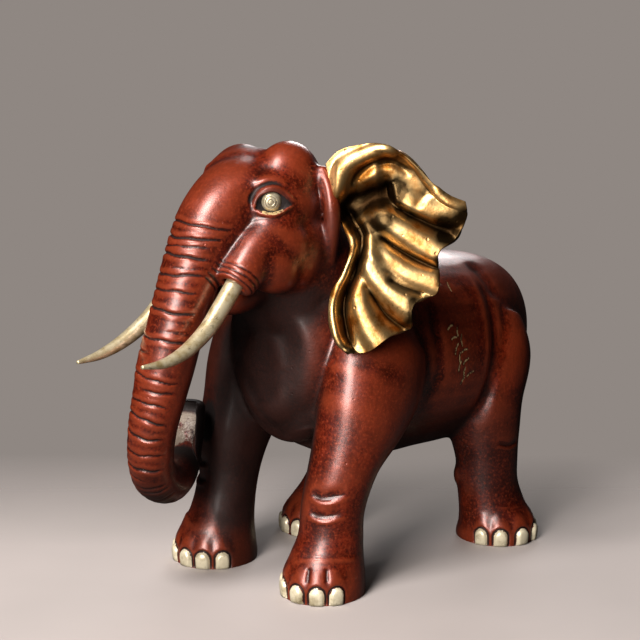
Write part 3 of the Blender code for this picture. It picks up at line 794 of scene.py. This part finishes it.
def noise(tree, place, scale, detail, roughness):
    """Cloudy noise, whose patches are about 1000 / scale millimetres wide."""
    settings = {"Scale": scale, "Detail": detail, "Roughness": roughness}
    return node(tree, "ShaderNodeTexNoise", settings, {"Vector": place}).outputs[0]


def casting_pits(tree, place, scale, low, high):
    """Small round pits, one in each cell of about 1000 / scale millimetres."""
    cells = node(tree, "ShaderNodeTexVoronoi", {"Scale": scale, "Randomness": 1.0}, {"Vector": place})
    return graded(tree, cells.outputs["Distance"], low, high)


def stored(tree, name):
    """A value that is stored on the mesh."""
    return node(tree, "ShaderNodeAttribute", {"attribute_name": name}).outputs["Fac"]


def combined(tree, operation, first, second):
    return node(tree, "ShaderNodeMath", {"operation": operation}, {0: first, 1: second}).outputs[0]


def bumped(tree, strength, distance, height, normal=None):
    links = {"Height": height}
    if normal:
        links["Normal"] = normal
    return node(tree, "ShaderNodeBump", {"Strength": strength, "Distance": distance}, links).outputs[0]


def mixed(tree, share, first, second):
    """Mixes two colours by a share."""
    made = node(tree, "ShaderNodeMix", {"data_type": "RGBA"})
    for index, value in ((6, first), (7, second)):
        if isinstance(value, str):
            made.inputs[index].default_value = linear(value)
        else:
            tree.links.new(value, made.inputs[index])
    tree.links.new(share, made.inputs[0])
    return made.outputs[2]


def graded(tree, value, low, high, first=0.0, last=1.0):
    """Turns a range of values into a range of shares, held at its ends."""
    made = node(tree, "ShaderNodeMapRange", {1: low, 2: high, 3: first, 4: last}, {0: value})
    return made.outputs[0]


# Red patina: copper coloured red brown by hot chemicals, then waxed and buffed. It is mottled
# over 10 to 40 mm, speckled at about 1 mm, nearly black in the chased lines and rubbed brighter
# on the high places; the wax gives broad pale highlights. Painted shade turns the eye recesses,
# the upper lids and the trunk's tip black, and the chest, belly and parts of the legs dark brown.
PATINA_RED = "#541306"
PATINA_ORANGE = "#7c2308"
PATINA_DARK = "#1e0602"
PATINA_RUBBED = "#933b1f"
# Black of the chased lines, used also for painted shade in the eye recesses, under the upper lids and
# round the trunk's tip.
LINE_BLACK_AND_SHADE = "#160806"
# Colour of the painted shade on the chest, belly and legs.
PAINTED_SHADE_BROWN = "#1d0b07"
SILVER_DIRTY = "#9c8a60"
SILVER_PALE = "#f4e8c8"
BARE_GREY = "#85776a"
GOLD_LEAF = "#dcc08a"

MOTTLE_SCALE, CLOUD_SCALE, SPECKLE_SCALE, PIT_SCALE = 28.0, 95.0, 620.0, 120.0

red_patina, tree, shader, place = new_material("red_patina_waxed")
broad = noise(tree, place, MOTTLE_SCALE, 4.0, 0.55)
cloudy = noise(tree, place, CLOUD_SCALE, 5.0, 0.6)
speckle = noise(tree, place, SPECKLE_SCALE, 4.0, 0.75)
grime_and_shade, silver, bare, gold, painted_shade = [stored(tree, name) for name in MARKS]
relief = stored(tree, "relief")
colour = mixed(tree, graded(tree, broad, 0.42, 0.62), PATINA_RED, PATINA_ORANGE)
colour = mixed(tree, graded(tree, cloudy, 0.60, 0.30, 0.0, 0.6), colour, PATINA_DARK)
colour = mixed(tree, graded(tree, speckle, 0.52, 0.66, 0.0, 0.85), colour, PATINA_RUBBED)
colour = mixed(tree, graded(tree, speckle, 0.48, 0.34, 0.0, 0.9), colour, PATINA_DARK)
colour = mixed(tree, graded(tree, relief, 0.04, 0.20, 0.0, 0.6), colour, PATINA_RUBBED)
colour = mixed(tree, graded(tree, relief, -0.05, -0.25, 0.0, 0.7), colour, PATINA_DARK)
# Painted shade darkens the chest, belly and parts of the legs to a dark brown.
colour = mixed(tree, painted_shade, colour, PAINTED_SHADE_BROWN)
# Black in the chased lines, and painted shade in the eye recesses, under the upper lids and round the
# trunk's tip.
colour = mixed(tree, graded(tree, grime_and_shade, 0.25, 0.8), colour, LINE_BLACK_AND_SHADE)
silvered = mixed(tree, graded(tree, cloudy, 0.28, 0.50), SILVER_DIRTY, SILVER_PALE)
colour = mixed(tree, graded(tree, silver, 0.4, 0.6), colour, silvered)
bare_spots = combined(tree, "MULTIPLY", bare, graded(tree, cloudy, 0.40, 0.55))
colour = mixed(tree, graded(tree, bare_spots, 0.2, 0.6), colour, BARE_GREY)
gold_spots = combined(tree, "MULTIPLY", gold, graded(tree, speckle, 0.35, 0.55))
colour = mixed(tree, graded(tree, gold_spots, 0.3, 0.7, 0.0, 0.9), colour, GOLD_LEAF)
tree.links.new(colour, shader.inputs["Base Color"])
shader.inputs["Metallic"].default_value = 0.3
gloss = graded(tree, cloudy, 0.35, 0.65, 0.32, 0.42)
# The coat thins and the gloss drops in the chased lines and in the painted shade.
unwaxed_and_shaded = combined(tree, "MAXIMUM", grime_and_shade, graded(tree, painted_shade, 0.0, 1.0, 0.0, 0.7))
dull = combined(tree, "ADD", gloss, graded(tree, unwaxed_and_shaded, 0.2, 0.8, 0.0, 0.35))
tree.links.new(dull, shader.inputs["Roughness"])
tree.links.new(graded(tree, unwaxed_and_shaded, 0.1, 0.7, 0.62, 0.05), shader.inputs["Coat Weight"])
shader.inputs["Coat Roughness"].default_value = 0.27
grain = bumped(tree, 0.25, 0.0004, speckle)
dimples = bumped(tree, 0.35, 0.0006, casting_pits(tree, place, PIT_SCALE, 0.02, 0.09), grain)
waves = bumped(tree, 0.20, 0.0020, cloudy, dimples)
tree.links.new(waves, shader.inputs["Normal"])
body_mesh.materials.clear()
body_mesh.materials.append(red_patina)
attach(body, "root")
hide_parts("body")

# Ears. Each is a thin casting, let into a slot behind the cheek: a fan of pleats round a deep
# hollow, with a rolled rim. They are fire gilt, worn on the ridges and dark in the hollows.
EAR_THICKNESS = 2.4
# Where the ear leaves the head, how many degrees it sweeps back, how far its foot leans forward,
# and how much lower the right one is set.
EAR_ROOT = (37, -38)
EAR_SWEEP = 40
EAR_LEAN = 13
RIGHT_EAR_DROP = 15
EAR_COLUMNS = 200
EAR_ROWS = 110
# The sheet's edges, as (distance out from the root, height).
EAR_FRONT_EDGE = [(4, 201), (12, 187), (8, 173), (2, 162), (1, 149), (5, 138), (11, 132)]
EAR_TOP_RIM = [(-2, 229), (5, 236), (16, 239), (29, 239), (38, 235)]
EAR_TOP_RIM += [(47, 227), (54, 219), (62, 213), (70, 210)]
EAR_OUTER_EDGE = [(11, 132), (21, 133), (32, 141), (43, 145), (45, 158)]
EAR_OUTER_EDGE += [(57, 165), (57, 184), (66, 191), (71, 203), (70, 210)]
# The pleats, as lines on the ear's sheet (distance out from the root, height), with their width
# at each end, how far they stand out (above 0) or lie in (below 0), and how much soot they hold.
EAR_FOLDS = [
    ([(-2, 196), (1, 208), (4, 220), (8, 228), (16, 233), (27, 237), (36, 236)], 5.6, 2.4, 3.4, 0),
    ([(20, 239), (30, 238), (38, 236), (45, 230), (51, 221), (59, 212), (69, 208), (76, 206)],
     2.0, 2.0, 1.8, 0),
    ([(9, 203), (12, 218), (18, 226), (26, 230), (34, 230), (43, 224)], 3.6, 3.0, -2.2, 0.25),
    ([(2, 200), (13, 207), (22, 212), (34, 215)], 8.0, 7.0, -7.5, 1.0),
    ([(24, 222), (38, 222), (52, 211)], 9.0, 7.0, -2.0, 0),
    ([(36, 213), (48, 207), (56, 204), (72, 202)], 5.0, 6.5, 2.0, 0),
    ([(32, 208), (43, 202), (54, 197), (68, 194)], 2.6, 4.4, -2.8, 0.8),
    ([(20, 207), (32, 199), (44, 192), (54, 186), (63, 180)], 5.0, 8.0, 4.0, 0),
    ([(26, 192), (36, 185), (46, 180), (62, 175)], 1.8, 3.2, -2.2, 0.7),
    ([(20, 186), (34, 178.5), (43, 173), (57, 168), (63, 165)], 4.0, 6.0, 3.0, 0),
    ([(30, 171), (39, 165.5), (50, 162)], 1.6, 2.4, -1.2, 0.4),
    ([(15, 194), (22, 177), (31, 166), (43, 157), (52, 152)], 5.0, 8.5, 4.4, 0),
    ([(22, 163), (28, 154), (33, 149), (44, 142)], 1.8, 3.2, -2.4, 0.7),
    ([(13, 176), (17, 158), (21.5, 147), (28, 138), (32, 131)], 4.4, 8.0, 4.2, 0),
    ([(6, 205), (17, 191), (13.5, 173), (8, 157), (9, 145), (12, 134)], 3.2, 3.0, -6.0, 0.9),
    ([(2, 207), (12.4, 190), (11.4, 179), (3, 162), (1.7, 152), (6, 139), (17, 128)], 1.8, 1.8, 2.4, 0),
]
# Soot that lies on the tips of the lobes and in the hollow by the root.
EAR_SOOT = [
    ([(58, 200), (65, 199), (71, 204)], 4.6, 1.0),
    ([(58, 192), (63, 190), (67, 192)], 3.4, 1.0),
    ([(56, 182), (58, 175), (57, 168)], 2.2, 0.8),
    ([(44, 159), (44, 151), (38, 145)], 3.2, 0.8),
    ([(6, 202), (18, 207), (33, 212)], 7.5, 1.0),
    ([(10, 196), (20, 196), (29, 201)], 5.5, 0.85),
]


def between_along(values, shares):
    return np.array([smooth_between(values, share) for share in shares])


def ear_points(side):
    """The ear's middle sheet as a grid: across 0 front edge to 1 top rim, out 0 root to 1 edge."""
    across = np.linspace(0, 1, EAR_COLUMNS + 1)
    out = np.linspace(0, 1, EAR_ROWS + 1)
    front = between_along(EAR_FRONT_EDGE, out)[:, None, :]
    top = between_along(EAR_TOP_RIM, out)[:, None, :]
    edge = between_along(EAR_OUTER_EDGE, across)[None, :, :]
    root_low, root_high = np.array(EAR_FRONT_EDGE[0], float), np.array(EAR_TOP_RIM[0], float)
    tip_low, tip_high = np.array(EAR_OUTER_EDGE[0], float), np.array(EAR_OUTER_EDGE[-1], float)
    a = across[None, :, None]
    o = out[:, None, None]
    root = root_low + (root_high - root_low) * a
    sheet = (1 - a) * front + a * top + (1 - o) * root + o * edge
    sheet -= (1 - a) * (1 - o) * root_low + a * (1 - o) * root_high
    sheet -= (1 - a) * o * tip_low + a * o * tip_high
    flat = sheet.reshape(-1, 2).astype(np.float32)
    rise = np.zeros(len(flat))
    soot_and_shade = np.zeros(len(flat))
    for line, inner_width, outer_width, height, dark in EAR_FOLDS:
        gap, share = along_line(flat, smooth_path(line, 20))
        width = inner_width + (outer_width - inner_width) * share
        ends = soft_step(share, -0.03, 0.22) * (1 - soft_step(share, 0.85, 1.03))
        rise += height * ends * np.exp(-((gap / width) ** 3))
        soot_and_shade = np.maximum(soot_and_shade, dark * bell(gap / width / 1.15))
    for line, width, dark in EAR_SOOT:
        soot_and_shade = np.maximum(soot_and_shade, dark * bell(along_line(flat, line)[0] / width))
    reach, height = flat[:, 0], flat[:, 1]
    rise *= soft_step(reach, -1, 5) * (1 - 0.5 * soft_step(reach, 60, 71))
    rise += EAR_LEAN * np.maximum(0.0, 201 - height) / 69
    turn = math.radians(EAR_SWEEP)
    x = EAR_ROOT[0] + reach * math.cos(turn) + rise * math.sin(turn)
    y = EAR_ROOT[1] + reach * math.sin(turn) - rise * math.cos(turn)
    if side < 0:
        away = np.minimum(1.0, np.repeat(out, EAR_COLUMNS + 1) * 3)
        height = height - RIGHT_EAR_DROP * away * (height - 120) / 110
    return np.stack([side * x, y, height], axis=1), soot_and_shade


def make_ear(name, side):
    bm = bmesh.new()
    bmesh.ops.create_grid(bm, x_segments=EAR_COLUMNS, y_segments=EAR_ROWS, size=1)
    places, soot_and_shade = ear_points(side)
    soot_layer = bm.verts.layers.float.new("soot_and_shade")
    for v in bm.verts:
        column = round((v.co.x + 1) / 2 * EAR_COLUMNS)
        row = round((v.co.y + 1) / 2 * EAR_ROWS)
        v.co = places[row * (EAR_COLUMNS + 1) + column]
        v[soot_layer] = soot_and_shade[row * (EAR_COLUMNS + 1) + column]
    to_frame(bm)
    ear = add_object(name, mesh_of(bm, name))
    wall = ear.modifiers.new("wall", "SOLIDIFY")
    wall.thickness = EAR_THICKNESS * MM
    wall.offset = 0
    mesh = bake_modifiers(ear)
    mesh.shade_smooth()
    store(mesh, "relief", height_over_smooth(mesh, 80) / MM)
    return ear


# Fire gilding: gold over copper, rubbed bright on the ridges, with brown-black oil and soot left
# in the hollows and small casting pits of about 1 mm.
GILT_BRIGHT = "#f2cc8c"
GILT_DEEP = "#a86c2a"
GILT_SOOT = "#1d1208"
gilt, tree, shader, place = new_material("worn_fire_gilding")
cloudy = noise(tree, place, 70.0, 5.0, 0.6)
speckle = noise(tree, place, 500.0, 3.0, 0.7)
relief = stored(tree, "relief")
colour = mixed(tree, graded(tree, cloudy, 0.38, 0.62), GILT_DEEP, GILT_BRIGHT)
broken = combined(tree, "ADD", stored(tree, "soot_and_shade"), graded(tree, cloudy, 0.35, 0.65, -0.22, 0.22))
colour = mixed(tree, graded(tree, relief, -0.05, -0.5, 0.0, 0.85), colour, GILT_SOOT)
colour = mixed(tree, graded(tree, broken, 0.12, 0.72, 0.0, 0.95), colour, GILT_SOOT)
colour = mixed(tree, graded(tree, cloudy, 0.45, 0.28, 0.0, 0.6), colour, GILT_SOOT)
colour = mixed(tree, graded(tree, speckle, 0.40, 0.25, 0.0, 0.6), colour, GILT_SOOT)
tree.links.new(colour, shader.inputs["Base Color"])
shader.inputs["Metallic"].default_value = 1.0
tree.links.new(graded(tree, cloudy, 0.35, 0.65, 0.44, 0.34), shader.inputs["Roughness"])
dimples = bumped(tree, 0.4, 0.0005, casting_pits(tree, place, 150.0, 0.04, 0.14))
tree.links.new(bumped(tree, 0.25, 0.0020, cloudy, dimples), shader.inputs["Normal"])
for word, side in (("left", 1), ("right", -1)):
    ear = make_ear("gilt_ear_" + word, side)
    ear.data.materials.clear()
    ear.data.materials.append(gilt)
    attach(ear, "root")
    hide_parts(word + "_ear")

# Tusks. Each is a curved tapering rod of silvered copper, pushed into its socket under the lip
# and soldered. The silver has aged to a pale champagne, with fine scratches along it.
TUSK_DIAMETER = 9.6
# The tusk's middle line, from inside the socket to the tip.
TUSK = [
    (22, -85, 178.5),
    (22.4, -92.5, 170),
    (23, -102, 160),
    (24, -112.5, 150.5),
    (25.2, -127, 142.5),
    (25.8, -141.5, 138.8),
    (25.5, -156, 139),
]
RIGHT_TUSK_DROP = 6
SILVERING_DIRTY = "#ab9565"
SILVERING_CLEAN = "#e8dab6"
TARNISH = "#4a3a24"


def make_tusk(name, side):
    stations = []
    for i, (x, y, z) in enumerate(TUSK):
        share = i / (len(TUSK) - 1)
        wide = TUSK_DIAMETER / 2 * (1.0 - 0.8 * share**3)
        drop = RIGHT_TUSK_DROP * share * share if side < 0 else 0
        back = RIGHT_SET_BACK * (1 - share) if side < 0 else 0
        stations.append((side * x, y + back, z - drop, wide, wide))
    bm = bmesh.new()
    loft(bm, stations, rings=80, segments=36)
    to_frame(bm)
    return add_object(name, mesh_of(bm, name))


# Aged silvering: a thin warm-white metal film with brown tarnish in its scratches.
silvering, tree, shader, place = new_material("aged_silvering")
cloudy = noise(tree, place, 160.0, 5.0, 0.6)
stretch = node(tree, "ShaderNodeMapping", {"Scale": (900.0, 120.0, 500.0)}, {"Vector": place})
scratches = noise(tree, stretch.outputs[0], 1.0, 3.0, 0.6)
colour = mixed(tree, graded(tree, cloudy, 0.30, 0.58), SILVERING_DIRTY, SILVERING_CLEAN)
colour = mixed(tree, graded(tree, scratches, 0.40, 0.28, 0.0, 0.6), colour, TARNISH)
tree.links.new(colour, shader.inputs["Base Color"])
shader.inputs["Metallic"].default_value = 0.6
tree.links.new(graded(tree, cloudy, 0.35, 0.65, 0.42, 0.30), shader.inputs["Roughness"])
tree.links.new(bumped(tree, 0.25, 0.0003, scratches), shader.inputs["Normal"])
for word, side in (("left", 1), ("right", -1)):
    tusk = make_tusk("silvered_tusk_" + word, side)
    tusk.data.materials.append(silvering)
    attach(tusk, "root")
    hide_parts(word + "_tusk")

# Eyes. Each is a silvered ball inlaid between the lids, engraved with a ring for the iris and a
# smaller one for the pupil, whose lines hold black.
EYE_DIAMETER = 12.0
IRIS_RADIUS = 3.0
PUPIL_RADIUS = 1.5
ENGRAVING_DEPTH = 0.25
ENGRAVING_WIDTH = 0.2
# The pupil looks a little ahead of where the ball faces.
GAZE_TURN = 6


def make_eye(name, side):
    """The ball, its pole turned to where it looks, with both rings cut round the pole."""
    bm = bmesh.new()
    x, y, z = EYE_CENTRE
    y += RIGHT_SET_BACK if side < 0 else 0
    turn = math.radians(GAZE_TURN) * side
    outward = Matrix.Rotation(-turn, 3, "Z") @ Vector((side * EYE_FACING[0], EYE_FACING[1], 0))
    bmesh.ops.create_uvsphere(bm, u_segments=64, v_segments=160, radius=EYE_DIAMETER / 2)
    grooves = []
    for v in bm.verts:
        away = math.hypot(v.co.x, v.co.y)
        groove = 0.0
        if v.co.z > 0:
            for ring in (IRIS_RADIUS, PUPIL_RADIUS):
                groove = max(groove, math.exp(-(((away - ring) / ENGRAVING_WIDTH) ** 2)))
        v.co *= 1 - groove * ENGRAVING_DEPTH / (EYE_DIAMETER / 2)
        grooves.append(groove)
    tilt = outward.to_track_quat("Z", "Y").to_matrix().to_4x4()
    bmesh.ops.transform(bm, matrix=Matrix.Translation((side * x, y, z)) @ tilt, verts=bm.verts)
    to_frame(bm)
    mesh = mesh_of(bm, name)
    store(mesh, "engraved", grooves)
    return add_object(name, mesh)


# The same silvering, duller between the lids, with black in the engraved rings.
engraved_silver, tree, shader, place = new_material("engraved_silvering")
cloudy = noise(tree, place, 300.0, 4.0, 0.6)
colour = mixed(tree, graded(tree, cloudy, 0.35, 0.60), "#9a8b6c", "#d6caae")
colour = mixed(tree, graded(tree, stored(tree, "engraved"), 0.3, 1.0, 0.0, 0.75), colour, "#4a3d2e")
tree.links.new(colour, shader.inputs["Base Color"])
shader.inputs["Metallic"].default_value = 0.7
shader.inputs["Roughness"].default_value = 0.38
for word, side in (("left", 1), ("right", -1)):
    eye = make_eye("silver_eye_" + word, side)
    eye.data.materials.append(engraved_silver)
    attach(eye, "root")
    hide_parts(word + "_eye")

# Studio. A pale floor that fades into a grey backdrop, a softbox high in front, a soft strip left
# of the camera, a card behind and a weak wash, and the camera at the photograph's angle.
FLOOR_COLOUR = "#bdb4b1"
FLOOR_SHADE = "#b2aaa7"
# What the statue sees of the floor, darker, so that its belly and chest stay dark.
FLOOR_UNSEEN = "#3a3634"
BACKDROP_COLOUR = "#8f8782"
FLOOR_RADIUS = 2.6
# The floor fades out between these distances behind the statue, away from the camera.
AWAY = (-0.7071, 0.7071, 0.0)
FLOOR_FADE = (0.01, 0.20)

bm = bmesh.new()
bmesh.ops.create_circle(bm, cap_ends=True, segments=96, radius=FLOOR_RADIUS)
floor = add_object("studio_floor", mesh_of(bm, "studio_floor"))
floor_finish, tree, shader, place = new_material("matte_paper_floor")
away = node(tree, "ShaderNodeVectorMath", {"operation": "DOT_PRODUCT", 1: AWAY}, {0: place})
clouds = node(tree, "ShaderNodeTexNoise", {"Scale": 6.0, "Detail": 3.0}, {"Vector": place}).outputs[0]
pale = mixed(tree, graded(tree, clouds, 0.3, 0.7), FLOOR_SHADE, FLOOR_COLOUR)
seen_share = node(tree, "ShaderNodeLightPath").outputs["Is Camera Ray"]
seen_pale = mixed(tree, seen_share, FLOOR_UNSEEN, pale)
tree.links.new(seen_pale, shader.inputs["Base Color"])
shader.inputs["Roughness"].default_value = 0.85
gone = node(tree, "ShaderNodeBsdfTransparent")
fade = graded(tree, away.outputs["Value"], *FLOOR_FADE)
blend = node(tree, "ShaderNodeMixShader", {}, {0: fade, 1: shader.outputs[0], 2: gone.outputs[0]})
tree.links.new(blend.outputs[0], tree.nodes["Material Output"].inputs["Surface"])
floor.data.materials.append(floor_finish)

world = bpy.data.worlds.new("studio")
world.use_nodes = True
tree = world.node_tree
seen = tree.nodes["Background"]
seen.inputs["Color"].default_value = linear(BACKDROP_COLOUR)
dim_room = node(tree, "ShaderNodeBackground", {"Color": linear("#8a8684"), "Strength": 0.025})
camera_sees = node(tree, "ShaderNodeLightPath").outputs["Is Camera Ray"]
studio = node(tree, "ShaderNodeMixShader", {},
              {0: camera_sees, 1: dim_room.outputs[0], 2: seen.outputs[0]})
tree.links.new(studio.outputs[0], tree.nodes["World Output"].inputs["Surface"])
bpy.context.scene.world = world
bpy.context.scene.view_settings.view_transform = "Standard"


def add_area_light(name, place, target, size, power, colour):
    data = bpy.data.lights.new(name, "AREA")
    data.shape = "RECTANGLE"
    data.size, data.size_y = size
    data.energy = power
    data.color = linear(colour)[:3]
    light = bpy.data.objects.new(name, data)
    bpy.context.scene.collection.objects.link(light)
    light.location = place
    light.rotation_euler = (Vector(target) - Vector(place)).to_track_quat("-Z", "Y").to_euler()


add_area_light("key_softbox", (0.10, -0.80, 1.15), (0, -0.02, 0.10), (0.40, 0.40), 17, "#fffaf6")
add_area_light("front_strip", (0.44, -1.12, 0.52), (0.03, -0.02, 0.12), (0.42, 0.62), 19.0, "#fff8f2")
add_area_light("back_card", (-0.9, 1.3, 0.9), (0, 0.05, 0.12), (0.6, 0.6), 8, "#ffffff")
add_area_light("floor_wash", (0.6, 0.6, 2.2), (0, 0, 0), (1.2, 1.2), 0.3, "#ffffff")

camera_data = bpy.data.cameras.new("photo_camera")
camera_data.sensor_width = 36
camera_data.lens = 104.625
camera = bpy.data.objects.new("photo_camera", camera_data)
bpy.context.scene.collection.objects.link(camera)
CAMERA_PLACE = (Vector((708.7, -716.7, 350)) + GRID_SHIFT) * MM
CAMERA_TARGET = (Vector((-55, 47, 120)) + GRID_SHIFT) * MM
camera.location = CAMERA_PLACE
camera.rotation_euler = (CAMERA_TARGET - CAMERA_PLACE).to_track_quat("-Z", "Y").to_euler()
bpy.context.scene.camera = camera
